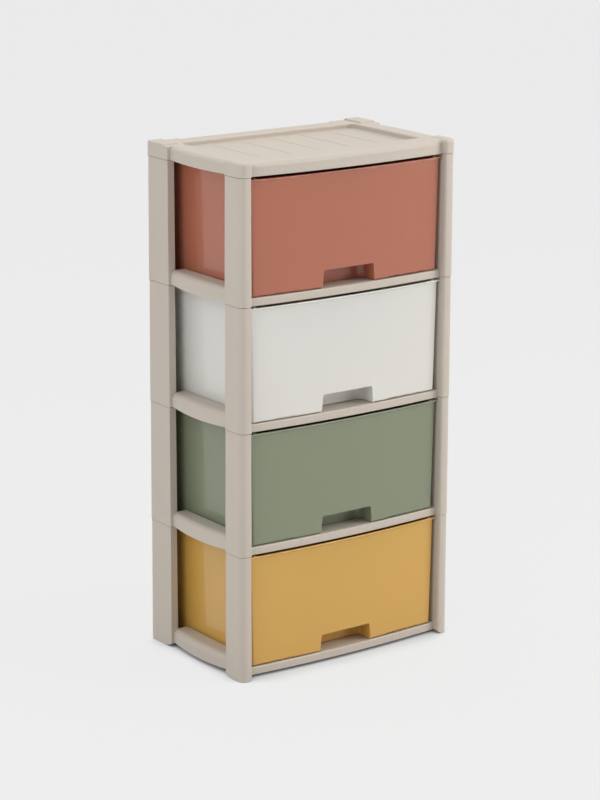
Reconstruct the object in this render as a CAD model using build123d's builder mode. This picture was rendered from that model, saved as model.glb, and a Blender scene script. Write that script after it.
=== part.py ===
from build123d import *
from math import atan, degrees
import os

# Plastic drawer tower: four drawers in an open frame of stacked corner posts,
# decks and a top tray. Millimetres, +Z up, front towards -Y, right towards +X.
# The origin is on the floor, under the middle of the footprint.

# Frame, measured over the faces of the corner posts
frame_width = 418.0
frame_depth = 261.0
storeys = 4
storey_pitch = 200.0
deck_clearance = 6.5  # floor to the underside of the base deck
frame_wall = 3.0
seam_gap = 0.9  # under the lower edge of each post that stands on another
fit_gap = 0.3  # between pieces that plug together
overlap = 1.0  # how far joined shapes, and cuts, run past each other
tolerance = 0.01  # for picking edges by their height
post_draft = 0.8  # each face of a post leans in by this much, bottom to top
edge_radius = 1.2

# Front corner posts, open towards the inside
front_post_width = 21.5
front_post_depth = 45.0
front_corner_radius = 12.0
front_inner_radius = 4.0  # along the edge beside the drawers
front_return_depth = 34.0  # flange beside the drawer front
front_return_width = 14.0  # flange that closes the side window

# Rear corner posts, an angle in plan
rear_post_side = 59.5
rear_post_back = 58.0
rear_leg = 14.0
rear_corner_radius = 5.0

# Top web of a post, with the pegs that plug into the deck above
web_thickness = 3.0
peg_height = 18.0
peg_width = 7.0
peg_length = 20.0
peg_round = 3.0
peg_lead = 1.0
stiffener_count = 3
stiffener_thickness = 1.8

# Feet: the lowest posts curl up at their toes, and a glide fills each one
toe_rise = 7.0
toe_run = 26.0
side_toe_rise = 9.0
side_toe_run = 12.0
heel_size = 8.0
foot_shadow = 0.5  # the glide's sole stands this far below the post

# Decks
deck_front_height = 11.5
deck_plate = 2.5
deck_front_setback = 11.5  # front edge behind the posts' faces, at its ends
deck_front_bow = 8.5
deck_front_round = 2.0
deck_front_hang = 1.2  # the front edge hangs this far below the seam
deck_foot_round = 0.6
deck_rear_setback = 4.5
rail_height = 24.5
rail_radius = 10.0
rail_inset = 5.0  # a side rail's outer face behind the post's, at its ends
rail_bow = 5.5
rail_belly = 2.5  # a side rail's lower edge hangs this much lower at mid-length
rail_roof = 5.0
rear_rail_round = 3.0
lug_height = 22.0
rib_thickness = 1.8
rib_height = 7.0
ribs_across = 5
ribs_along = 3
runner_height = 0.7
runner_width = 4.0
runner_spread = 270.0
stop_width = 30.0
stop_spread = 200.0

# Top tray
front_block_height = 23.5
rear_block_height = 24.5
rear_block_width = 28.0  # the raised part of a rear block
rear_block_depth = 45.0
tray_lug_height = 12.0
rim_height = 22.0
rim_radius = 8.0
rim_roof = 5.0
front_block_radius = 5.0
rear_block_radius = 2.0
tray_front_bow = 12.5
tray_side_bow = 4.5
tray_side_belly = 1.0
recess_width = 342.0
recess_rear = 94.5
recess_front = -84.0
recess_depth = 8.5
recess_radius = 9.0
recess_round = 2.0
brim_round = 2.5
tray_plate = 2.5
groove_count = 5
groove_pitch = 58.0
groove_width = 3.0
groove_depth = 0.4

# Drawers
drawer_wall = 2.2
floor_gap = 1.0  # a drawer's underside above the deck's plate
panel_height = 182.5
panel_top_width = 368.0
panel_bottom_width = 358.0
panel_thickness = 2.8
panel_return = 11.0
panel_setback = 1.0  # behind the deck's front edge
panel_bow = 8.0
panel_round = 3.0
panel_edge_round = 3.5
lip_height = 2.6
lip_reach = 2.4
lip_round = 1.2
body_width = 354.0
body_height = 183.5
body_rear = 111.0  # at the top; the wall leans in below
body_draft = 2.5  # each wall leans in by this much, top to bottom
body_corner_radius = 9.0
body_floor_radius = 5.0
bead_reach = 2.5
bead_height = 2.5
guide_gap = 1.5  # between a drawer's side and the deck's side rail
stop_gap = 0.4  # between a drawer's back, at its top, and the deck's stops

# Finger pull, a pocket under the middle of each drawer's front edge
pull_top_width = 97.0
pull_bottom_width = 102.0
pull_height = 28.0
pull_corner = 3.5
pull_depth = 34.0
pull_rear_radius = 12.0

# Places worked out from the sizes above
left = -frame_width / 2
front = -frame_depth / 2
rear = frame_depth / 2
window_front = front + front_post_depth
window_rear = rear - rear_post_side
lug_inset = frame_wall + fit_gap
deck_edge = left + rear_leg + fit_gap
deck_rear = rear - rear_leg - fit_gap
strip_edge = left + front_post_width + fit_gap
strip_front = front + deck_front_setback
strip_rear = front + front_return_depth + fit_gap
bay_edge = left + rear_post_back + fit_gap
bay_rear = rear - deck_rear_setback
bay_front = deck_rear - frame_wall
channel_edge = -body_width / 2 - guide_gap
window_middle = (window_front + window_rear) / 2
panel_face = strip_front + panel_setback
pull_rear = panel_face - panel_bow + pull_depth
front_pegs = [((left + front_post_width / 2, front + front_post_depth / 2), 90)]
rear_pegs = [
    ((left + (rear_leg + frame_wall) / 2, rear - rear_post_side / 2 - peg_width / 2), 90),
    ((left + rear_post_back / 2 + peg_width / 2, rear - (rear_leg + frame_wall) / 2), 0),
]


def seam_height(level):
    """Height of the seam under deck number level; level 0 is the base deck."""
    return deck_clearance + level * storey_pitch


def box_plan(x0, y0, x1, y1, mode=Mode.ADD):
    """Rectangle between two opposite corners, in the open sketch."""
    with Locations(((x0 + x1) / 2, (y0 + y1) / 2)):
        Rectangle(abs(x1 - x0), abs(y1 - y0), mode=mode)


def bowed_plan(x_edge, y_front, bow, y_rear):
    """Slab plan from -x_edge to x_edge whose front edge bows forward."""
    with BuildLine() as outline:
        ThreePointArc((-x_edge, y_front), (0, y_front - bow), (x_edge, y_front))
        Polyline((x_edge, y_front), (x_edge, y_rear), (-x_edge, y_rear), (-x_edge, y_front))
    make_face(outline.edges())


def peg_plan(pegs, clearance=0.0):
    """Plans of one post's pegs, or of their sockets with a clearance."""
    for centre, turn in pegs:
        with Locations(Location((centre[0], centre[1], 0), (0, 0, turn))):
            RectangleRounded(peg_length + 2 * clearance, peg_width + 2 * clearance, peg_round)


# Corner posts, drawn at the left of the tower


def front_post_plan():
    """Plan of a front post's outer faces."""
    box_plan(left, front, left + front_post_width, window_front)
    fillet(vertices().group_by(Axis.Y)[0].sort_by(Axis.X)[0], front_corner_radius)
    fillet(vertices().group_by(Axis.Y)[-1], edge_radius)
    fillet(vertices().group_by(Axis.Y)[0].sort_by(Axis.X)[-1], front_inner_radius)


def front_post_hollow():
    """Plan of the space inside a front post, with its open inner corner."""
    box_plan(left + frame_wall, front + frame_wall,
             left + front_post_width - frame_wall, window_front - frame_wall)
    fillet(vertices().group_by(Axis.Y)[0].sort_by(Axis.X)[0], front_corner_radius - frame_wall)
    box_plan(left + front_return_width, front + front_return_depth,
             left + front_post_width + overlap, window_front + overlap)


def rear_post_plan():
    """Plan of a rear post's two legs."""
    box_plan(left, window_rear, left + rear_leg, rear)
    box_plan(left, rear - rear_leg, left + rear_post_back, rear)
    fillet(vertices().group_by(Axis.Y)[-1].sort_by(Axis.X)[0], rear_corner_radius)
    fillet(vertices().group_by(Axis.Y)[0], edge_radius)
    fillet(vertices().group_by(Axis.X)[-1], edge_radius)


def rear_post_hollow():
    """Plan of the space inside a rear post, open along the inner side of both legs."""
    inner_x = left + rear_leg
    inner_y = rear - rear_leg
    end_x = left + rear_post_back - frame_wall
    end_y = window_rear + frame_wall
    past = frame_wall + overlap
    with BuildLine() as outline:
        Polyline(
            (left + frame_wall, rear - frame_wall),
            (end_x, rear - frame_wall),
            (end_x, inner_y),
            (end_x + past, inner_y),
            (end_x + past, end_y - past),
            (inner_x, end_y - past),
            (inner_x, end_y),
            (left + frame_wall, end_y),
            close=True,
        )
    make_face(outline.edges())


def stiffener_plan(is_front):
    """Plan of a post's stiffeners: the whole front post, or a rear post's side leg."""
    if is_front:
        front_post_plan()
        offset(amount=-frame_wall / 2)
    else:
        box_plan(left + frame_wall / 2, window_rear + frame_wall / 2,
                 left + rear_leg, rear - frame_wall / 2)


def toe_profile(start, end, rise):
    """Region under a foot's curl, from the flat sole at start to the lifted end."""
    with BuildLine() as outline:
        curl = TangentArc((start, 0), (end, rise), tangent=(end - start, 0))
        Polyline(curl @ 1, (end, -overlap), (start, -overlap), (start, 0))
    make_face(outline.edges())


def build_foot_curl(is_front):
    """What the curled toes of a left foot take away."""
    toe = left + (front_post_width if is_front else rear_post_back)
    with BuildPart() as curl:
        with BuildSketch(Plane.YZ.offset(left - overlap)):
            if is_front:
                toe_profile(window_front - toe_run, window_front + overlap, toe_rise)
            else:
                toe_profile(window_rear + toe_run, window_rear - overlap, toe_rise)
                toe_profile(rear - heel_size, rear + overlap, heel_size)
        extrude(amount=rear_post_back + 2 * overlap)
        with BuildSketch(Plane.XZ.offset(-rear - overlap)):
            toe_profile(toe - side_toe_run, toe + overlap, side_toe_rise)
        extrude(amount=frame_depth + 2 * overlap)
    return curl.part


def build_post(is_front, storey):
    """One left post of a storey counted from 1: shell, stiffeners, top web and pegs."""
    is_foot = storey == 1
    bottom = foot_shadow if is_foot else seam_height(storey - 1) + seam_gap
    top = seam_height(storey)
    plan = front_post_plan if is_front else rear_post_plan
    hollow = front_post_hollow if is_front else rear_post_hollow
    lowest_stiffener = seam_height(storey - 1) + lug_height
    stiffener_pitch = (top - lowest_stiffener) / (stiffener_count + 1)
    curl = build_foot_curl(is_front)
    with BuildPart() as post:
        with BuildSketch(Plane.XY.offset(bottom)):
            plan()
        extrude(amount=top - bottom, taper=degrees(atan(post_draft / storey_pitch)))
        with BuildSketch(Plane.XY.offset(bottom)):
            hollow()
        extrude(amount=top - bottom - web_thickness, mode=Mode.SUBTRACT)
        for index in range(stiffener_count):
            height = lowest_stiffener + (index + 1) * stiffener_pitch
            with BuildSketch(Plane.XY.offset(height)):
                stiffener_plan(is_front)
            extrude(amount=stiffener_thickness)
        if is_foot:
            add(curl, mode=Mode.SUBTRACT)
        with BuildSketch(Plane.XY.offset(top)):
            peg_plan(front_pegs if is_front else rear_pegs)
        extrude(amount=peg_height)
        chamfer(faces().group_by(Axis.Z)[-1].edges(), peg_lead)
    return post.part


def lug_plan(is_front):
    """The deck's corner lug, which fills the lower end of the post around it."""
    if is_front:
        box_plan(left + lug_inset, front + lug_inset,
                 left + front_post_width - lug_inset, window_front - lug_inset)
        fillet(vertices().group_by(Axis.Y)[0].sort_by(Axis.X)[0],
               front_corner_radius - lug_inset)
    else:
        box_plan(left + lug_inset, window_rear + lug_inset,
                 deck_edge + overlap, rear - lug_inset)
        box_plan(left + lug_inset, deck_rear - overlap,
                 left + rear_post_back - lug_inset, rear - lug_inset)


def build_glide(is_front):
    """Left foot glide: a pad in the post's lower end, with pegs into the base deck."""
    curl = build_foot_curl(is_front)
    with BuildPart() as glide:
        with BuildSketch():
            lug_plan(is_front)
        extrude(amount=deck_clearance)
        add(curl, mode=Mode.SUBTRACT)
        with BuildSketch(Plane.XY.offset(deck_clearance)):
            peg_plan(front_pegs if is_front else rear_pegs)
        extrude(amount=peg_height)
        chamfer(faces().group_by(Axis.Z)[-1].edges(), peg_lead)
    return glide.part


# Decks


def build_side_rail(base, height, radius, roof, bow, belly):
    """Left side rail of a deck: bowed outer face, rounded crown, hollow underneath."""
    outer = left + rail_inset
    start = window_front + fit_gap
    end = window_rear - fit_gap
    with BuildPart() as rail:
        with BuildSketch(Plane.XY.offset(base)):
            with BuildLine():
                ThreePointArc((outer, start), (outer - bow, window_middle), (outer, end))
                Polyline((outer, end), (channel_edge, end), (channel_edge, start), (outer, start))
            make_face()
        extrude(amount=height)
        fillet(edges().filter_by(GeomType.CIRCLE).sort_by(Axis.Z)[-1], radius)
        inside = outer + frame_wall
        with BuildSketch(Plane.XY.offset(base)):
            with BuildLine():
                ThreePointArc((inside, start + frame_wall), (inside - bow, window_middle),
                              (inside, end - frame_wall))
                Polyline((inside, end - frame_wall), (channel_edge - frame_wall, end - frame_wall),
                         (channel_edge - frame_wall, start + frame_wall),
                         (inside, start + frame_wall))
            make_face()
        extrude(amount=height - roof, mode=Mode.SUBTRACT)
        with BuildSketch(Plane.YZ.offset(outer - bow - overlap)):
            with BuildLine():
                ThreePointArc((start, base + belly), (window_middle, base), (end, base + belly))
                Polyline((end, base + belly), (end, base + height),
                         (start, base + height), (start, base + belly))
            make_face()
        extrude(amount=channel_edge - outer + bow + 2 * overlap, mode=Mode.INTERSECT)
    return rail.part


def rib_grid(x_half, y_front, y_rear):
    """Plan of the ribs that stiffen a plate from below."""
    middle = (y_front + y_rear) / 2
    with Locations((0, middle)):
        with GridLocations(2 * x_half / (ribs_across + 1), 1, ribs_across, 1):
            Rectangle(rib_thickness, y_rear - y_front)
        with GridLocations(1, (y_rear - y_front) / (ribs_along + 1), 1, ribs_along):
            Rectangle(2 * x_half, rib_thickness)


def build_deck(level):
    """Shelf number level, or the base deck at level 0."""
    base = seam_height(level)
    plate_under = base + deck_front_height - deck_plate
    rail = build_side_rail(base, rail_height, rail_radius, rail_roof, rail_bow, rail_belly)
    lugs = build_lugs(base, lug_height)
    sockets = build_peg_sockets(base)
    with BuildPart() as deck:
        with BuildSketch(Plane.XY.offset(base)):
            bowed_plan(-strip_edge, strip_front, deck_front_bow, bay_front)
        extrude(amount=deck_front_height)
        with BuildSketch(Plane.XY.offset(base - deck_front_hang)):
            bowed_plan(-strip_edge, strip_front, deck_front_bow, strip_front + frame_wall)
        extrude(amount=deck_front_height + deck_front_hang)
        fillet(edges().filter_by(GeomType.CIRCLE).group_by(Axis.Z)[-1], deck_front_round)
        fillet(edges().filter_by(GeomType.CIRCLE).group_by(Axis.Z)[0], deck_foot_round)
        with BuildSketch(Plane.XY.offset(base)):
            box_plan(channel_edge - frame_wall, strip_rear, frame_wall - channel_edge, deck_rear)
            for edge in (deck_edge, -deck_edge):
                box_plan(edge, strip_rear, 0, window_front + frame_wall)
                box_plan(edge, window_rear - frame_wall, 0, deck_rear)
        extrude(amount=deck_front_height)
        with BuildSketch(Plane.XY.offset(base)):
            box_plan(bay_edge, bay_front, -bay_edge, bay_rear)
        extrude(amount=rail_height)
        fillet(edges().group_by(Axis.Z)[-1], rear_rail_round)
        with BuildSketch(Plane.XY.offset(base - deck_front_hang)):
            bowed_plan(-strip_edge - frame_wall, strip_front + frame_wall,
                       deck_front_bow, bay_front)
        extrude(amount=deck_front_height - deck_plate + deck_front_hang, mode=Mode.SUBTRACT)
        with BuildSketch(Plane.XY.offset(base)):
            box_plan(bay_edge + frame_wall, bay_front + frame_wall,
                     -bay_edge - frame_wall, bay_rear - frame_wall)
        extrude(amount=rail_height - frame_wall, mode=Mode.SUBTRACT)
        with BuildSketch(Plane.XY.offset(plate_under - rib_height)):
            rib_grid(-strip_edge, strip_front + frame_wall / 2, bay_front + frame_wall / 2)
        extrude(amount=rib_height)
        with BuildSketch(Plane.XY.offset(base + deck_front_height)):
            with GridLocations(runner_spread, 1, 2, 1):
                box_plan(-runner_width / 2, strip_rear, runner_width / 2, bay_front)
        extrude(amount=runner_height)
        with BuildSketch(Plane.XY.offset(base + deck_front_height)):
            with GridLocations(stop_spread, 1, 2, 1):
                box_plan(-stop_width / 2, body_rear + stop_gap, stop_width / 2,
                         bay_front + frame_wall)
        extrude(amount=rail_height - deck_front_height - rear_rail_round)
        add(rail)
        mirror(rail, about=Plane.YZ)
        add(lugs)
        mirror(lugs, about=Plane.YZ)
        add(sockets, mode=Mode.SUBTRACT)
        mirror(sockets, about=Plane.YZ, mode=Mode.SUBTRACT)
    return deck.part


def build_lugs(base, height):
    """Both left corner lugs of a deck, which sit on the webs of the posts below."""
    with BuildPart() as lugs:
        with BuildSketch(Plane.XY.offset(base)):
            lug_plan(True)
            lug_plan(False)
        extrude(amount=height)
    return lugs.part


def build_peg_sockets(base):
    """Room for all the left pegs that come up into a deck from below."""
    with BuildPart() as sockets:
        with BuildSketch(Plane.XY.offset(base)):
            peg_plan(front_pegs + rear_pegs, fit_gap)
        extrude(amount=peg_height + peg_lead)
    return sockets.part


# Top tray


def build_tray_block(is_front, base):
    """Left corner block of the tray, over a post and as wide as its lower end."""
    bottom = base + seam_gap
    with BuildPart() as block:
        with BuildSketch(Plane.XY.offset(bottom)):
            if is_front:
                front_post_plan()
            else:
                box_plan(left, rear - rear_block_depth, left + rear_block_width, rear)
                fillet(vertices().group_by(Axis.Y)[-1].sort_by(Axis.X)[0], rear_corner_radius)
        extrude(amount=(front_block_height if is_front else rear_block_height) - seam_gap)
        fillet(edges().group_by(Axis.Z)[-1], front_block_radius if is_front else rear_block_radius)
        if not is_front:
            with BuildSketch(Plane.XY.offset(bottom)):
                box_plan(left, window_rear, bay_edge + overlap, rear)
                fillet(vertices().group_by(Axis.Y)[-1].sort_by(Axis.X)[0], rear_corner_radius)
            extrude(amount=rim_height - seam_gap)
    return block.part


def build_tray_rims(base):
    """Front and rear rims of the tray, with the plate between them still solid."""
    with BuildPart() as rims:
        with BuildSketch(Plane.XY.offset(base)):
            bowed_plan(-left - front_post_width / 2, strip_front, tray_front_bow, deck_rear)
            box_plan(bay_edge, window_rear, -bay_edge, bay_rear)
        extrude(amount=rim_height)
        top = edges().group_by(Axis.Z)[-1]
        fillet(top.filter_by(GeomType.CIRCLE), rim_radius)
        fillet(edges().group_by(Axis.Z)[-1].sort_by(Axis.Y)[-1], rear_rail_round)
    return rims.part


def build_tray():
    """Top tray: bowed rims round a shallow recess, and a block over each post."""
    base = seam_height(storeys)
    floor = base + rim_height - recess_depth
    recess_middle = (recess_front + recess_rear) / 2
    recess_wall = recess_width / 2 + frame_wall
    side_rim = build_side_rail(base, rim_height, rim_radius, rim_roof, tray_side_bow,
                               tray_side_belly)
    rims = build_tray_rims(base)
    blocks = [build_tray_block(is_front, base) for is_front in (True, False)]
    lugs = build_lugs(base, tray_lug_height)
    sockets = build_peg_sockets(base)
    with BuildPart() as tray:
        add(rims)
        for block in blocks:
            add(block)
            mirror(block, about=Plane.YZ)
        with BuildSketch(Plane.XY.offset(base)):
            box_plan(-recess_wall, recess_front - frame_wall,
                     recess_wall, recess_rear + frame_wall)
        extrude(amount=rim_height - recess_depth - tray_plate, mode=Mode.SUBTRACT)
        with BuildSketch(Plane.XY.offset(base)):
            bowed_plan(-strip_edge - frame_wall, strip_front + frame_wall,
                       tray_front_bow, recess_front - frame_wall)
            box_plan(bay_edge + frame_wall, recess_rear + frame_wall,
                     -bay_edge - frame_wall, bay_rear - frame_wall)
        extrude(amount=rim_height - rim_roof, mode=Mode.SUBTRACT)
        with BuildSketch(Plane.XY.offset(floor)):
            with Locations((0, recess_middle)):
                RectangleRounded(recess_width, recess_rear - recess_front, recess_radius)
        extrude(amount=rim_height, mode=Mode.SUBTRACT)
        with BuildSketch(Plane.XY.offset(floor - tray_plate - rib_height)):
            rib_grid(recess_wall, recess_front - frame_wall, recess_rear + frame_wall)
        extrude(amount=rib_height)
        rim_top = base + rim_height
        fillet(edges().filter_by_position(Axis.Z, floor - tolerance, floor + tolerance),
               recess_round)
        brim = edges().filter_by_position(Axis.Z, rim_top - tolerance, rim_top + tolerance)
        brim = brim.filter_by_position(Axis.X, -recess_wall, recess_wall)
        fillet(brim.filter_by_position(Axis.Y, recess_front, recess_rear), brim_round)
        with BuildSketch(Plane.XY.offset(floor - groove_depth)):
            with Locations((0, recess_middle)):
                with GridLocations(groove_pitch, 1, groove_count, 1):
                    SlotOverall(recess_rear - recess_front - 2 * recess_radius,
                                groove_width, rotation=90)
        extrude(amount=rim_height, mode=Mode.SUBTRACT)
        add(side_rim)
        mirror(side_rim, about=Plane.YZ)
        add(lugs)
        mirror(lugs, about=Plane.YZ)
        add(sockets, mode=Mode.SUBTRACT)
        mirror(sockets, about=Plane.YZ, mode=Mode.SUBTRACT)
    return tray.part


# Drawers


def body_plan(inset, y_front, radius):
    """Plan of a drawer's body at its floor, drawn in by inset."""
    half = body_width / 2 - body_draft - inset
    y_rear = body_rear - body_draft - inset
    box_plan(-half, y_front, half, y_rear)
    fillet(vertices().group_by(Axis.Y)[-1], radius)


def build_panel(bottom):
    """A drawer's bowed front panel, narrower at its foot, with a thin lip along its top."""
    top = bottom + panel_height
    with BuildPart() as panel:
        with BuildSketch(Plane.XY.offset(bottom)):
            bowed_plan(panel_top_width / 2, panel_face, panel_bow, panel_face + panel_return)
        extrude(amount=panel_height)
        with BuildSketch(Plane.XZ.offset(-panel_face - panel_return)) as outline:
            with BuildLine():
                Polyline((-panel_bottom_width / 2, bottom), (panel_bottom_width / 2, bottom),
                         (panel_top_width / 2, top), (-panel_top_width / 2, top), close=True)
            make_face()
            fillet(outline.vertices(), panel_round)
        extrude(amount=panel_return + 2 * panel_bow, mode=Mode.INTERSECT)
        fillet(panel.faces().sort_by(Axis.Y)[0].edges(), panel_edge_round)
        with BuildSketch(Plane.XY.offset(top - lip_height)):
            bowed_plan(panel_top_width / 2 + lip_reach, panel_face - lip_reach,
                       panel_bow, panel_face + panel_thickness)
        extrude(amount=lip_height)
        lip_edges = edges().filter_by(GeomType.CIRCLE).group_by(Axis.Y)[0]
        fillet(lip_edges, lip_round)
    return panel.part


def build_pull(bottom, growth):
    """The space of a finger pull, or its housing when it grows by the drawer's wall."""
    half = pull_bottom_width / 2 + growth
    top = bottom + pull_height + growth
    y_front = panel_face - panel_bow - overlap
    if growth > 0:
        y_front += panel_thickness
    with BuildPart() as pull:
        with BuildSketch(Plane.XY.offset(bottom)):
            box_plan(-half, y_front, half, pull_rear + growth)
            fillet(vertices().group_by(Axis.Y)[-1], pull_rear_radius + growth)
        extrude(amount=pull_height + growth)
        with BuildSketch(Plane.XZ.offset(-pull_rear - growth)):
            with BuildLine():
                Polyline((-half, bottom), (half, bottom), (pull_top_width / 2 + growth, top),
                         (-pull_top_width / 2 - growth, top), close=True)
            make_face()
            fillet(vertices().group_by(Axis.Y)[-1], pull_corner)
        extrude(amount=pull_rear + growth - y_front, mode=Mode.INTERSECT)
    return pull.part


def build_drawer(storey):
    """The drawer of a storey counted from 1, moulded in one piece."""
    bottom = seam_height(storey - 1) + deck_front_height + floor_gap
    lean = degrees(atan(body_draft / body_height))
    panel = build_panel(bottom)
    housing = build_pull(bottom, drawer_wall)
    space = build_pull(bottom, 0)
    with BuildPart() as drawer:
        with BuildSketch(Plane.XY.offset(bottom)):
            body_plan(0, panel_face + panel_thickness, body_corner_radius)
        extrude(amount=body_height, taper=-lean)
        fillet(edges().group_by(Axis.Z)[0].sort_by(Axis.Y)[1:], body_floor_radius)
        with BuildSketch(Plane.XY.offset(bottom + body_height - bead_height)):
            body_plan(-body_draft - bead_reach, panel_face + panel_return,
                      body_corner_radius + bead_reach)
        extrude(amount=bead_height)
        add(panel)
        with BuildSketch(Plane.XY.offset(bottom + drawer_wall)):
            bowed_plan(body_width / 2 - body_draft - drawer_wall, panel_face + panel_thickness,
                       panel_bow, body_rear - body_draft - drawer_wall)
            fillet(vertices().group_by(Axis.Y)[-1], body_corner_radius - drawer_wall)
        extrude(amount=panel_height, taper=-lean, mode=Mode.SUBTRACT)
        add(housing)
        add(space, mode=Mode.SUBTRACT)
    return drawer.part


os.makedirs("parts", exist_ok=True)

for level in range(storeys):
    deck_shape = build_deck(level)
    with BuildPart() as shelf:
        add(deck_shape)
    shelf.part.label = f"shelf_{level}" if level else "base_deck"
    export_step(shelf.part, f"parts/{shelf.part.label}.step")

tray_shape = build_tray()
with BuildPart() as top_tray:
    add(tray_shape)
top_tray.part.label = "top_tray"
export_step(top_tray.part, "parts/top_tray.step")

for storey in range(1, storeys + 1):
    for row, is_front in (("front", True), ("rear", False)):
        post_shape = build_post(is_front, storey)
        with BuildPart() as left_post:
            add(post_shape)
        left_post.part.label = f"{row}_left_post_{storey}"
        export_step(left_post.part, f"parts/{left_post.part.label}.step")
        with BuildPart() as right_post:
            mirror(post_shape, about=Plane.YZ)
        right_post.part.label = f"{row}_right_post_{storey}"
        export_step(right_post.part, f"parts/{right_post.part.label}.step")

for row, is_front in (("front", True), ("rear", False)):
    glide_shape = build_glide(is_front)
    with BuildPart() as left_glide:
        add(glide_shape)
    left_glide.part.label = f"{row}_left_glide"
    export_step(left_glide.part, f"parts/{left_glide.part.label}.step")
    with BuildPart() as right_glide:
        mirror(glide_shape, about=Plane.YZ)
    right_glide.part.label = f"{row}_right_glide"
    export_step(right_glide.part, f"parts/{right_glide.part.label}.step")

for storey in range(1, storeys + 1):
    drawer_shape = build_drawer(storey)
    with BuildPart() as drawer:
        add(drawer_shape)
    drawer.part.label = f"drawer_{storey}"
    export_step(drawer.part, f"parts/{drawer.part.label}.step")
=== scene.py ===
import math

import bpy
from mathutils import Matrix, Vector

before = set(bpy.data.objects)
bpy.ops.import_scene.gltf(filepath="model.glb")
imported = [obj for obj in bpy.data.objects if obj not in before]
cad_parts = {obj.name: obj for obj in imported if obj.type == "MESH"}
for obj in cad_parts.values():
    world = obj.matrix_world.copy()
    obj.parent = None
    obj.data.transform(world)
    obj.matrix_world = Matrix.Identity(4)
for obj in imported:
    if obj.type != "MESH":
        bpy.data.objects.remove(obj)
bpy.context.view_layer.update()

bl_info = {
    "name": "Plastic Drawer Tower",
    "version": (1, 0, 0),
    "blender": (4, 5, 0),
    "location": "View3D > Sidebar > Drawer Tower",
    "description": "Finishes the packed drawer tower in moulded plastic and sets its stage",
    "category": "Object",
}

STOREYS = 4
IMAGE_HEIGHT = 800  # pixels, the longer side of the image
SENSOR = 36.0  # millimetres, along the longer side


# Sizes and colours that a user would change


class DrawerTowerFrame(bpy.types.PropertyGroup):
    """Finish of the frame's satin plastic."""

    colour: bpy.props.FloatVectorProperty(
        name="Frame Colour", description="Warm light grey of posts, decks and tray",
        subtype="COLOR", size=3, min=0.0, max=1.0, default=(0.55, 0.49, 0.425))
    glide_colour: bpy.props.FloatVectorProperty(
        name="Glide Colour", description="Colour of the foot glides under the lowest posts",
        subtype="COLOR", size=3, min=0.0, max=1.0, default=(0.47, 0.415, 0.36))
    roughness: bpy.props.FloatProperty(
        name="Roughness", description="Mean roughness of the satin surface",
        min=0.0, max=1.0, default=0.46, subtype="FACTOR")
    grain_size: bpy.props.FloatProperty(
        name="Grain Size", description="Width of one pebble of the moulded grain",
        min=0.0001, max=0.01, default=0.0009, unit="LENGTH", precision=4)
    grain_depth: bpy.props.FloatProperty(
        name="Grain Depth", description="Height of the moulded grain",
        min=0.0, max=0.001, default=0.00004, unit="LENGTH", precision=5)
    # The paler edges are rubbed wear and also a painted highlight.
    edge_radius: bpy.props.FloatProperty(
        name="Edge Radius", description="Reach of the paler, rubbed edges",
        min=0.0, max=0.01, default=0.0012, unit="LENGTH", precision=4)


class DrawerTowerDrawers(bpy.types.PropertyGroup):
    """Finish of the drawers' glossy plastic, from the lowest drawer up."""

    colour_1: bpy.props.FloatVectorProperty(
        name="Drawer 1 Colour", description="Mustard of the lowest drawer",
        subtype="COLOR", size=3, min=0.0, max=1.0, default=(0.635, 0.37, 0.083))
    colour_2: bpy.props.FloatVectorProperty(
        name="Drawer 2 Colour", description="Sage green of the second drawer",
        subtype="COLOR", size=3, min=0.0, max=1.0, default=(0.226, 0.257, 0.169))
    colour_3: bpy.props.FloatVectorProperty(
        name="Drawer 3 Colour", description="Warm white of the third drawer",
        subtype="COLOR", size=3, min=0.0, max=1.0, default=(0.712, 0.704, 0.665))
    colour_4: bpy.props.FloatVectorProperty(
        name="Drawer 4 Colour", description="Terracotta of the top drawer",
        subtype="COLOR", size=3, min=0.0, max=1.0, default=(0.436, 0.149, 0.09))
    roughness: bpy.props.FloatProperty(
        name="Roughness", description="Mean roughness of the polished surface",
        min=0.0, max=1.0, default=0.15, subtype="FACTOR")
    translucence: bpy.props.FloatProperty(
        name="Translucence", description="Share of the light that passes into the thin walls",
        min=0.0, max=1.0, default=0.15, subtype="FACTOR")
    ripple_depth: bpy.props.FloatProperty(
        name="Ripple Depth", description="Height of the slow waves in the moulded walls",
        min=0.0, max=0.002, default=0.0001, unit="LENGTH", precision=5)
    ripple_size: bpy.props.FloatProperty(
        name="Ripple Size", description="Length of one slow wave",
        min=0.01, max=1.0, default=0.11, unit="LENGTH")


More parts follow.
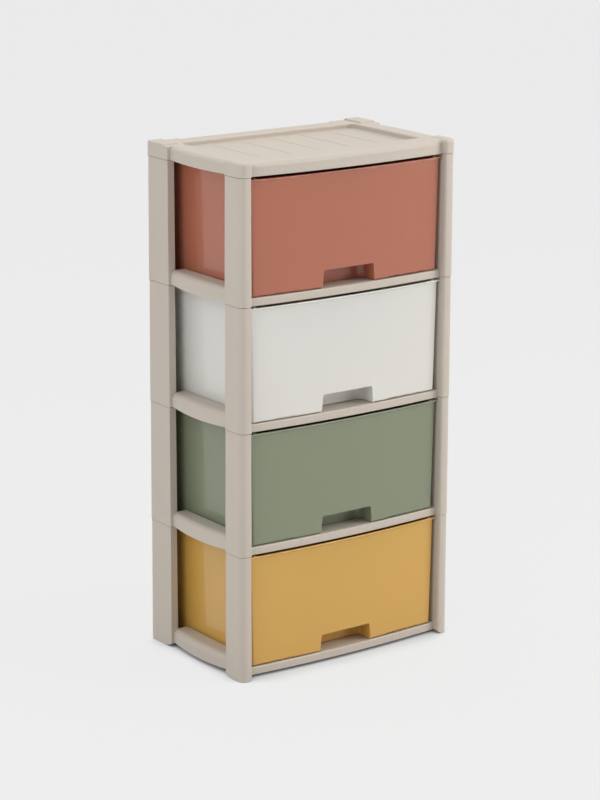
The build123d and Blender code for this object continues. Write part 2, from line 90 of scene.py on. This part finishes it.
class DrawerTowerStage(bpy.types.PropertyGroup):
    """Camera, lamps and floor."""

    camera_place: bpy.props.FloatVectorProperty(
        name="Camera Place", description="Where the camera stands",
        subtype="TRANSLATION", size=3, unit="LENGTH", default=(-2.4512, -3.3633, 1.5169))
    azimuth: bpy.props.FloatProperty(
        name="Azimuth", description="Camera's heading, from straight ahead to the right",
        unit="ROTATION", default=math.radians(36.058))
    elevation: bpy.props.FloatProperty(
        name="Elevation", description="How far the camera looks down",
        unit="ROTATION", default=math.radians(14.977))
    roll: bpy.props.FloatProperty(
        name="Roll", description="Camera's turn about its own axis",
        unit="ROTATION", default=math.radians(0.249))
    focal_pixels: bpy.props.FloatProperty(
        name="Focal Length", description="Focal length in pixels of the image",
        min=100.0, max=10000.0, default=2654.05)
    backdrop: bpy.props.FloatVectorProperty(
        name="Backdrop Colour", description="Pale grey of the floor and backdrop",
        subtype="COLOR", size=3, min=0.0, max=1.0, default=(0.832, 0.832, 0.832))
    fill: bpy.props.FloatProperty(
        name="Fill Light", description="Strength of the even light from the back and sides",
        min=0.0, max=5.0, default=0.72)
    front_fill: bpy.props.FloatProperty(
        name="Front Fill Light", description="Strength of the even light from the camera's side",
        min=0.0, max=5.0, default=0.22)
    left_power: bpy.props.FloatProperty(
        name="Left Softbox", description="Power of the softbox at the left",
        min=0.0, max=500.0, default=14.0, unit="POWER")
    right_power: bpy.props.FloatProperty(
        name="Right Softbox", description="Power of the softbox at the right front",
        min=0.0, max=500.0, default=57.0, unit="POWER")
    top_power: bpy.props.FloatProperty(
        name="Top Softbox", description="Power of the softbox overhead",
        min=0.0, max=500.0, default=30.0, unit="POWER")
    floor_size: bpy.props.FloatProperty(
        name="Floor Size", description="Side of the square floor",
        min=1.0, max=500.0, default=80.0, unit="LENGTH")


# Shader node groups that the plastics share


def add_node(tree, kind, **settings):
    """New shader node; a setting is its property or, with _ for each space, its input."""
    node = tree.nodes.new(kind)
    for key, value in settings.items():
        if hasattr(node, key):
            setattr(node, key, value)
        else:
            node.inputs[key.replace("_", " ")].default_value = value
    return node


def add_math(tree, operation, *terms, clamp=False):
    """Result of a Math node whose terms are sockets or plain numbers."""
    node = add_node(tree, "ShaderNodeMath", operation=operation, use_clamp=clamp)
    for term, socket in zip(terms, node.inputs):
        if isinstance(term, bpy.types.NodeSocket):
            tree.links.new(term, socket)
        else:
            socket.default_value = term
    return node.outputs[0]


def add_noise(tree, size=None, **settings):
    """Noise over a piece's own space; size is the socket that holds one spot's width."""
    place = add_node(tree, "ShaderNodeTexCoord")
    noise = add_node(tree, "ShaderNodeTexNoise", **settings)
    tree.links.new(place.outputs["Object"], noise.inputs["Vector"])
    if size is not None:
        tree.links.new(add_math(tree, "DIVIDE", 1.0, size), noise.inputs["Scale"])
    return noise.outputs["Fac"]


def new_group(name, inputs, outputs):
    """Empty node group with its own sockets; returns it, what it is given and what it gives."""
    group = bpy.data.node_groups.new(name, "ShaderNodeTree")
    for socket, kind, value in inputs:
        made = group.interface.new_socket(name=socket, in_out="INPUT", socket_type=kind)
        made.default_value = value
    for socket, kind in outputs:
        group.interface.new_socket(name=socket, in_out="OUTPUT", socket_type=kind)
    given = group.nodes.new("NodeGroupInput").outputs
    result = group.nodes.new("NodeGroupOutput").inputs
    return group, given, result


def make_grain_group():
    """Height of a fine moulded grain with a few slow waves under it."""
    group, given, result = new_group(
        "Moulded Grain",
        [("Grain Size", "NodeSocketFloat", 0.001), ("Grain Depth", "NodeSocketFloat", 0.00004),
         ("Wave Size", "NodeSocketFloat", 0.1), ("Wave Depth", "NodeSocketFloat", 0.0001)],
        [("Height", "NodeSocketFloat")])
    grain = add_noise(group, given["Grain Size"], Detail=3.0, Roughness=0.55)
    fine = add_math(group, "MULTIPLY", grain, given["Grain Depth"])
    wave = add_noise(group, given["Wave Size"], Detail=1.0, Roughness=0.3)
    height = add_math(group, "MULTIPLY_ADD", wave, given["Wave Depth"], fine)
    group.links.new(height, result["Height"])
    return group


def make_melt_group():
    """Faint clouds and flow lines that the melt leaves in a plastic's colour."""
    group, given, result = new_group(
        "Melt Clouds",
        [("Colour", "NodeSocketColor", (0.5, 0.5, 0.5, 1.0)),
         ("Cloud Size", "NodeSocketFloat", 0.12), ("Amount", "NodeSocketFloat", 0.03)],
        [("Colour", "NodeSocketColor")])
    link = group.links.new
    clouds = add_noise(group, given["Cloud Size"], Detail=4.0, Roughness=0.6, Distortion=0.6)
    centred = add_math(group, "SUBTRACT", clouds, 0.5)
    share = add_math(group, "MULTIPLY_ADD", centred, given["Amount"], 1.0)
    tinted = add_node(group, "ShaderNodeVectorMath", operation="SCALE")
    link(given["Colour"], tinted.inputs[0])
    link(share, tinted.inputs["Scale"])
    link(tinted.outputs[0], result["Colour"])
    return group


def make_edge_group():
    """Mask of the convex and concave edges, broken up as handling does; it pales edges as rubbed
    wear and as a painted highlight.
    """
    group, given, result = new_group(
        "Rubbed Edges",
        [("Radius", "NodeSocketFloat", 0.001), ("Strength", "NodeSocketFloat", 1.0)],
        [("Mask", "NodeSocketFloat")])
    link = group.links.new
    rounded = add_node(group, "ShaderNodeBevel", samples=4)
    link(given["Radius"], rounded.inputs["Radius"])
    surface = add_node(group, "ShaderNodeNewGeometry")
    match = add_node(group, "ShaderNodeVectorMath", operation="DOT_PRODUCT")
    link(rounded.outputs["Normal"], match.inputs[0])
    link(surface.outputs["Normal"], match.inputs[1])
    spread = add_node(group, "ShaderNodeMapRange", clamp=True, From_Min=0.995, From_Max=0.85)
    link(match.outputs["Value"], spread.inputs["Value"])
    broken = add_noise(group, Scale=55.0, Detail=3.0, Roughness=0.6)
    thinned = add_math(group, "MULTIPLY", spread.outputs["Result"], broken)
    mask = add_math(group, "MULTIPLY", thinned, given["Strength"], clamp=True)
    link(mask, result["Mask"])
    return group


def make_handling_group():
    """Roughness with smudges and hair-fine scratches from handling."""
    group, given, result = new_group(
        "Handling",
        [("Roughness", "NodeSocketFloat", 0.4), ("Smudges", "NodeSocketFloat", 0.08),
         ("Scratches", "NodeSocketFloat", 0.06)],
        [("Roughness", "NodeSocketFloat")])
    link = group.links.new
    smudge = add_noise(group, Scale=18.0, Detail=5.0, Roughness=0.65)
    smudged = add_node(group, "ShaderNodeMapRange", clamp=True, From_Min=0.35, From_Max=0.7,
                       To_Min=-0.5, To_Max=0.5)
    link(smudge, smudged.inputs["Value"])
    touched = add_math(group, "MULTIPLY_ADD", smudged.outputs["Result"], given["Smudges"],
                       given["Roughness"])
    place = add_node(group, "ShaderNodeTexCoord")
    stretched = add_node(group, "ShaderNodeMapping", Rotation=(0.3, 0.2, 0.5),
                         Scale=(900.0, 30.0, 420.0))
    link(place.outputs["Object"], stretched.inputs["Vector"])
    scratch = add_node(group, "ShaderNodeTexNoise", Scale=1.0, Detail=2.0, Roughness=0.5)
    link(stretched.outputs["Vector"], scratch.inputs["Vector"])
    marked = add_node(group, "ShaderNodeMapRange", clamp=True, From_Min=0.66, From_Max=0.74)
    link(scratch.outputs["Fac"], marked.inputs["Value"])
    scratched = add_math(group, "MULTIPLY_ADD", marked.outputs["Result"], given["Scratches"],
                         touched, clamp=True)
    link(scratched, result["Roughness"])
    return group


def make_dust_group():
    """Mask of the thin dust that settles on faces that look up."""
    group, given, result = new_group(
        "Settled Dust",
        [("Amount", "NodeSocketFloat", 0.1)],
        [("Mask", "NodeSocketFloat")])
    link = group.links.new
    surface = add_node(group, "ShaderNodeNewGeometry")
    axes = add_node(group, "ShaderNodeSeparateXYZ")
    link(surface.outputs["Normal"], axes.inputs[0])
    upward = add_node(group, "ShaderNodeMapRange", clamp=True, From_Min=0.6, From_Max=1.0)
    link(axes.outputs["Z"], upward.inputs["Value"])
    patches = add_noise(group, Scale=26.0, Detail=6.0, Roughness=0.7)
    lying = add_math(group, "MULTIPLY", upward.outputs["Result"], patches)
    mask = add_math(group, "MULTIPLY", lying, given["Amount"], clamp=True)
    link(mask, result["Mask"])
    return group


GROUP_MAKERS = {
    "Moulded Grain": make_grain_group,
    "Melt Clouds": make_melt_group,
    "Rubbed Edges": make_edge_group,
    "Handling": make_handling_group,
    "Settled Dust": make_dust_group,
}


def place_group(tree, name, **values):
    """Shared group node in a material, made on first use, with its own values."""
    group = bpy.data.node_groups.get(name) or GROUP_MAKERS[name]()
    node = tree.nodes.new("ShaderNodeGroup")
    node.node_tree = group
    for socket, value in values.items():
        node.inputs[socket.replace("_", " ")].default_value = value
    return node


# The plastics, beyond the settings above

PLASTIC_IOR = 1.49
COAT_ROUGHNESS = 0.06
CLOUD_SIZE = 0.13  # metres, width of one cloud in the colour
SMUDGES = 0.07  # most that smudges change the roughness, up or down, is half of this
SCRATCHES = 0.08  # most that scratches add to the roughness
EDGE_WEAR_AND_HIGHLIGHT_WHITENING = 0.35  # how far towards white an edge goes, as rubbed wear and as a painted highlight
DUST_COLOUR = (0.62, 0.6, 0.56, 1.0)
DUST_ROUGHENING = 0.8  # what full dust adds to the roughness

FRAME_WAVES = (0.09, 0.00012)  # metres, length and height of the slow waves
FRAME_CLOUDING = 0.05  # spread of the clouds' brightness
FRAME_DUST = 0.12

DRAWER_PLASTICS = ("mustard_plastic", "sage_plastic", "white_plastic", "terracotta_plastic")
DRAWER_GRAIN = (0.0007, 0.000004)  # metres, width and height of one pebble
DRAWER_CLOUDING = 0.02
DRAWER_EDGE_WEAR_AND_HIGHLIGHT = (0.0009, 0.3)  # metres of reach, then strength, of the paler edges: rubbed wear and painted highlight
DRAWER_DUST = 0.05
DRAWER_COAT = 0.15
LIGHT_DEPTH = 0.006  # metres that light goes into a drawer's wall
LIGHT_DEPTH_SHARES = (1.0, 0.8, 0.6)  # of that depth, for red, green and blue


def moulded_plastic(name, colour, roughness, grain, waves, cloud, edge_wear_and_highlight, dust, coat=0.0):
    """Moulded plastic: clouded colour, paler edges that are rubbed wear and a painted highlight,
    dust, grain and handled gloss.
    """
    material = bpy.data.materials.new(name)
    material.use_nodes = True
    material.diffuse_color = (*colour, 1.0)
    tree = material.node_tree
    link = tree.links.new
    shader = tree.nodes["Principled BSDF"]
    shader.inputs["IOR"].default_value = PLASTIC_IOR
    shader.inputs["Coat Weight"].default_value = coat
    shader.inputs["Coat Roughness"].default_value = COAT_ROUGHNESS
    melt = place_group(tree, "Melt Clouds", Colour=(*colour, 1.0), Cloud_Size=CLOUD_SIZE,
                       Amount=cloud)
    edges = place_group(tree, "Rubbed Edges", Radius=edge_wear_and_highlight[0], Strength=edge_wear_and_highlight[1])
    # Paler edges: rubbed wear and a painted highlight on the rounded edges.
    paler = add_node(tree, "ShaderNodeMix", data_type="RGBA")
    link(edges.outputs["Mask"], paler.inputs["Factor"])
    link(melt.outputs["Colour"], paler.inputs["A"])
    rubbed_and_highlit = [channel + (1.0 - channel) * EDGE_WEAR_AND_HIGHLIGHT_WHITENING for channel in colour]
    paler.inputs["B"].default_value = (*rubbed_and_highlit, 1.0)
    settled = place_group(tree, "Settled Dust", Amount=dust)
    dusty = add_node(tree, "ShaderNodeMix", data_type="RGBA")
    link(settled.outputs["Mask"], dusty.inputs["Factor"])
    link(paler.outputs["Result"], dusty.inputs["A"])
    dusty.inputs["B"].default_value = DUST_COLOUR
    link(dusty.outputs["Result"], shader.inputs["Base Color"])
    handled = place_group(tree, "Handling", Roughness=roughness, Smudges=SMUDGES,
                          Scratches=SCRATCHES)
    duller = add_math(tree, "MULTIPLY_ADD", settled.outputs["Mask"], DUST_ROUGHENING,
                      handled.outputs["Roughness"], clamp=True)
    link(duller, shader.inputs["Roughness"])
    skin = place_group(tree, "Moulded Grain", Grain_Size=grain[0], Grain_Depth=grain[1],
                       Wave_Size=waves[0], Wave_Depth=waves[1])
    bump = add_node(tree, "ShaderNodeBump", Strength=1.0, Distance=1.0)
    link(skin.outputs["Height"], bump.inputs["Height"])
    link(bump.outputs["Normal"], shader.inputs["Normal"])
    return material


def dress(node_names, material):
    """Gives CAD nodes one material."""
    for name in node_names:
        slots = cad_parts[name].data.materials
        slots.clear()
        slots.append(material)


def frame_material(name, colour, edge_wear_and_highlight_strength):
    """Satin plastic of the frame in one colour."""
    look = bpy.context.scene.drawer_tower_frame
    return moulded_plastic(
        name, colour, look.roughness, grain=(look.grain_size, look.grain_depth),
        waves=FRAME_WAVES, cloud=FRAME_CLOUDING, edge_wear_and_highlight=(look.edge_radius, edge_wear_and_highlight_strength),
        dust=FRAME_DUST)


class TOWER_OT_finish_posts(bpy.types.Operator):
    """Finish the corner posts in satin plastic"""

    bl_idname = "tower.finish_posts"
    bl_label = "Finish Corner Posts"

    def execute(self, context):
        colour = context.scene.drawer_tower_frame.colour
        plastic = frame_material("post_plastic", colour, edge_wear_and_highlight_strength=0.5)
        dress([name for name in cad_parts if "_post_" in name], plastic)
        return {"FINISHED"}


class TOWER_OT_finish_decks(bpy.types.Operator):
    """Finish the base deck and the shelves in satin plastic"""

    bl_idname = "tower.finish_decks"
    bl_label = "Finish Decks"

    def execute(self, context):
        colour = context.scene.drawer_tower_frame.colour
        plastic = frame_material("deck_plastic", colour, edge_wear_and_highlight_strength=0.5)
        dress(["base_deck"] + [f"shelf_{level}" for level in range(1, STOREYS)], plastic)
        return {"FINISHED"}


class TOWER_OT_finish_tray(bpy.types.Operator):
    """Finish the top tray in satin plastic"""

    bl_idname = "tower.finish_tray"
    bl_label = "Finish Top Tray"

    def execute(self, context):
        colour = context.scene.drawer_tower_frame.colour
        plastic = frame_material("tray_plastic", colour, edge_wear_and_highlight_strength=0.6)
        dress(["top_tray"], plastic)
        return {"FINISHED"}


class TOWER_OT_finish_glides(bpy.types.Operator):
    """Finish the foot glides in a slightly darker plastic, its edges paler from rubbing and a
    painted highlight
    """

    bl_idname = "tower.finish_glides"
    bl_label = "Finish Foot Glides"

    def execute(self, context):
        colour = context.scene.drawer_tower_frame.glide_colour
        plastic = frame_material("glide_plastic", colour, edge_wear_and_highlight_strength=1.5)
        dress([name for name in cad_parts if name.endswith("_glide")], plastic)
        return {"FINISHED"}


class TOWER_OT_finish_drawers(bpy.types.Operator):
    """Finish each drawer in its own glossy colour"""

    bl_idname = "tower.finish_drawers"
    bl_label = "Finish Drawers"

    def execute(self, context):
        look = context.scene.drawer_tower_drawers
        for storey, name in enumerate(DRAWER_PLASTICS, start=1):
            plastic = moulded_plastic(
                name, getattr(look, f"colour_{storey}"), look.roughness, grain=DRAWER_GRAIN,
                waves=(look.ripple_size, look.ripple_depth), cloud=DRAWER_CLOUDING,
                edge_wear_and_highlight=DRAWER_EDGE_WEAR_AND_HIGHLIGHT, dust=DRAWER_DUST, coat=DRAWER_COAT)
            shader = plastic.node_tree.nodes["Principled BSDF"]
            shader.inputs["Subsurface Weight"].default_value = look.translucence
            shader.inputs["Subsurface Radius"].default_value = LIGHT_DEPTH_SHARES
            shader.inputs["Subsurface Scale"].default_value = LIGHT_DEPTH
            dress([f"drawer_{storey}"], plastic)
        return {"FINISHED"}


# Stage, beyond the settings above

FLOOR_LIT = (0.06, 0.06, 0.06, 1.0)  # what the lamps light of the floor that is seen
FLOOR_BOUNCE = (0.75, 0.75, 0.75, 1.0)  # the floor as it lights the tower
FLOOR_GLOW = 0.946  # strength of the open floor's glow
SHADOW_REACH = 0.1  # metres over which a piece darkens the floor near it with a painted shadow
SHADOW_FREE = 0.7  # openness above which the floor glows in full, free of painted shadow
FRONT_COSINES = (0.1, 0.95)  # towards the camera, where the front fill starts and is full
LAMP_TARGET = (0.0, 0.0, 0.42)  # metres, about the tower's middle
SOFTBOXES = {  # place and size in metres, then colour
    "left": ((-1.9, -0.8, 1.2), (1.2, 1.8), (1.0, 1.0, 1.0)),
    "right": ((2.6, -2.0, 1.5), (1.8, 2.2), (1.0, 0.965, 0.92)),
    "top": ((0.2, 0.0, 3.2), (2.2, 2.2), (1.0, 0.975, 0.945)),
}
VIEW_REACH = 500.0  # metres


def floor_material(colour):
    """Pale floor that glows in sight and in reflections; a painted shadow dims the glow near the
    pieces, and a faint lamp-lit share keeps soft shadows.
    """
    material = bpy.data.materials.new("pale_floor")
    material.use_nodes = True
    tree = material.node_tree
    tree.nodes.clear()
    output = add_node(tree, "ShaderNodeOutputMaterial")
    link = tree.links.new
    lit = add_node(tree, "ShaderNodeBsdfDiffuse", Color=FLOOR_LIT)
    glow = add_node(tree, "ShaderNodeEmission", Color=(*colour, 1.0))
    # Painted shadow: ambient occlusion near the pieces dims the floor's glow.
    shade = add_node(tree, "ShaderNodeAmbientOcclusion", samples=16, Distance=SHADOW_REACH)
    painted_shadow_strength = add_node(tree, "ShaderNodeMapRange", clamp=True, From_Max=SHADOW_FREE,
                      To_Max=FLOOR_GLOW)
    link(shade.outputs["AO"], painted_shadow_strength.inputs["Value"])
    link(painted_shadow_strength.outputs["Result"], glow.inputs["Strength"])
    seen = add_node(tree, "ShaderNodeAddShader")
    link(lit.outputs[0], seen.inputs[0])
    link(glow.outputs[0], seen.inputs[1])
    plain = add_node(tree, "ShaderNodeBsdfDiffuse", Color=FLOOR_BOUNCE)
    path = add_node(tree, "ShaderNodeLightPath")
    shown = add_math(tree, "MAXIMUM", path.outputs["Is Camera Ray"],
                     path.outputs["Is Glossy Ray"])
    chosen = add_node(tree, "ShaderNodeMixShader")
    link(shown, chosen.inputs[0])
    link(plain.outputs[0], chosen.inputs[1])
    link(seen.outputs[0], chosen.inputs[2])
    link(chosen.outputs[0], output.inputs["Surface"])
    return material


def add_softbox(name, place, size, colour, power):
    """Rectangular area lamp that faces the tower's middle."""
    lamp = bpy.data.lights.new(name, "AREA")
    lamp.shape = "RECTANGLE"
    lamp.size, lamp.size_y = size
    lamp.energy = power
    lamp.color = colour
    box = bpy.data.objects.new(name, lamp)
    bpy.context.scene.collection.objects.link(box)
    facing = (Vector(LAMP_TARGET) - Vector(place)).to_track_quat("-Z", "Y")
    box.matrix_world = Matrix.Translation(place) @ facing.to_matrix().to_4x4()


def set_world(stage):
    """Soft light, weaker from the camera's side, seen as the backdrop's own colour."""
    world = bpy.data.worlds.new("soft_studio")
    bpy.context.scene.world = world
    world.use_nodes = True
    tree = world.node_tree
    link = tree.links.new
    background = tree.nodes["Background"]
    background.inputs["Color"].default_value = (1.0, 1.0, 1.0, 1.0)
    place = add_node(tree, "ShaderNodeTexCoord")
    facing = add_node(tree, "ShaderNodeVectorMath", operation="DOT_PRODUCT")
    link(place.outputs["Generated"], facing.inputs[0])
    facing.inputs[1].default_value = (-math.sin(stage.azimuth), -math.cos(stage.azimuth), 0.0)
    spread = add_node(tree, "ShaderNodeMapRange", clamp=True, interpolation_type="SMOOTHSTEP",
                      From_Min=FRONT_COSINES[0], From_Max=FRONT_COSINES[1],
                      To_Min=stage.fill, To_Max=stage.front_fill)
    link(facing.outputs["Value"], spread.inputs["Value"])
    link(spread.outputs["Result"], background.inputs["Strength"])
    shown = add_node(tree, "ShaderNodeBackground", Color=(*stage.backdrop, 1.0))
    path = add_node(tree, "ShaderNodeLightPath")
    chosen = add_node(tree, "ShaderNodeMixShader")
    link(path.outputs["Is Camera Ray"], chosen.inputs[0])
    link(background.outputs[0], chosen.inputs[1])
    link(shown.outputs[0], chosen.inputs[2])
    link(chosen.outputs[0], tree.nodes["World Output"].inputs["Surface"])


def set_camera(stage):
    """Camera at the photograph's place and angle."""
    camera = bpy.data.cameras.new("photo_camera")
    camera.sensor_width = SENSOR
    camera.lens = stage.focal_pixels * SENSOR / IMAGE_HEIGHT
    camera.clip_end = VIEW_REACH
    holder = bpy.data.objects.new("photo_camera", camera)
    bpy.context.scene.collection.objects.link(holder)
    heading = Matrix.Rotation(-stage.azimuth, 4, "Z")
    tilt = Matrix.Rotation(math.pi / 2 - stage.elevation, 4, "X")
    roll = Matrix.Rotation(stage.roll, 4, "Z")
    holder.matrix_world = Matrix.Translation(stage.camera_place) @ heading @ tilt @ roll
    bpy.context.scene.camera = holder


class TOWER_OT_set_stage(bpy.types.Operator):
    """Set the pale floor, the softboxes, the even light and the camera"""

    bl_idname = "tower.set_stage"
    bl_label = "Set Stage"

    def execute(self, context):
        stage = context.scene.drawer_tower_stage
        bpy.ops.object.select_all(action="DESELECT")
        bpy.ops.mesh.primitive_plane_add(size=stage.floor_size)
        floor = context.active_object
        floor.name = "pale_floor"
        floor.data.materials.append(floor_material(stage.backdrop))
        for side, (place, size, colour) in SOFTBOXES.items():
            power = getattr(stage, f"{side}_power")
            add_softbox(f"{side}_softbox", place, size, colour, power)
        set_world(stage)
        set_camera(stage)
        context.scene.view_settings.view_transform = "Standard"
        return {"FINISHED"}


class TOWER_PT_panel(bpy.types.Panel):
    """Steps and settings of the drawer tower"""

    bl_idname = "TOWER_PT_panel"
    bl_label = "Drawer Tower"
    bl_space_type = "VIEW_3D"
    bl_region_type = "UI"
    bl_category = "Drawer Tower"

    def draw(self, context):
        for operator in OPERATORS:
            self.layout.operator(operator.bl_idname)
        for name in SETTINGS:
            settings = getattr(context.scene, name)
            for key in settings.bl_rna.properties.keys():
                if key not in ("rna_type", "name"):
                    self.layout.prop(settings, key)


SETTINGS = {
    "drawer_tower_frame": DrawerTowerFrame,
    "drawer_tower_drawers": DrawerTowerDrawers,
    "drawer_tower_stage": DrawerTowerStage,
}
OPERATORS = (
    TOWER_OT_finish_posts,
    TOWER_OT_finish_decks,
    TOWER_OT_finish_tray,
    TOWER_OT_finish_glides,
    TOWER_OT_finish_drawers,
    TOWER_OT_set_stage,
)


def register():
    for settings in SETTINGS.values():
        bpy.utils.register_class(settings)
    for name, settings in SETTINGS.items():
        setattr(bpy.types.Scene, name, bpy.props.PointerProperty(type=settings))
    for operator in OPERATORS:
        bpy.utils.register_class(operator)
    bpy.utils.register_class(TOWER_PT_panel)


def unregister():
    bpy.utils.unregister_class(TOWER_PT_panel)
    for operator in reversed(OPERATORS):
        bpy.utils.unregister_class(operator)
    for name, settings in SETTINGS.items():
        delattr(bpy.types.Scene, name)
        bpy.utils.unregister_class(settings)


def main():
    register()
    bpy.ops.tower.finish_posts()
    bpy.ops.tower.finish_decks()
    bpy.ops.tower.finish_tray()
    bpy.ops.tower.finish_glides()
    bpy.ops.tower.finish_drawers()
    bpy.ops.tower.set_stage()


if __name__ == "__main__":
    main()
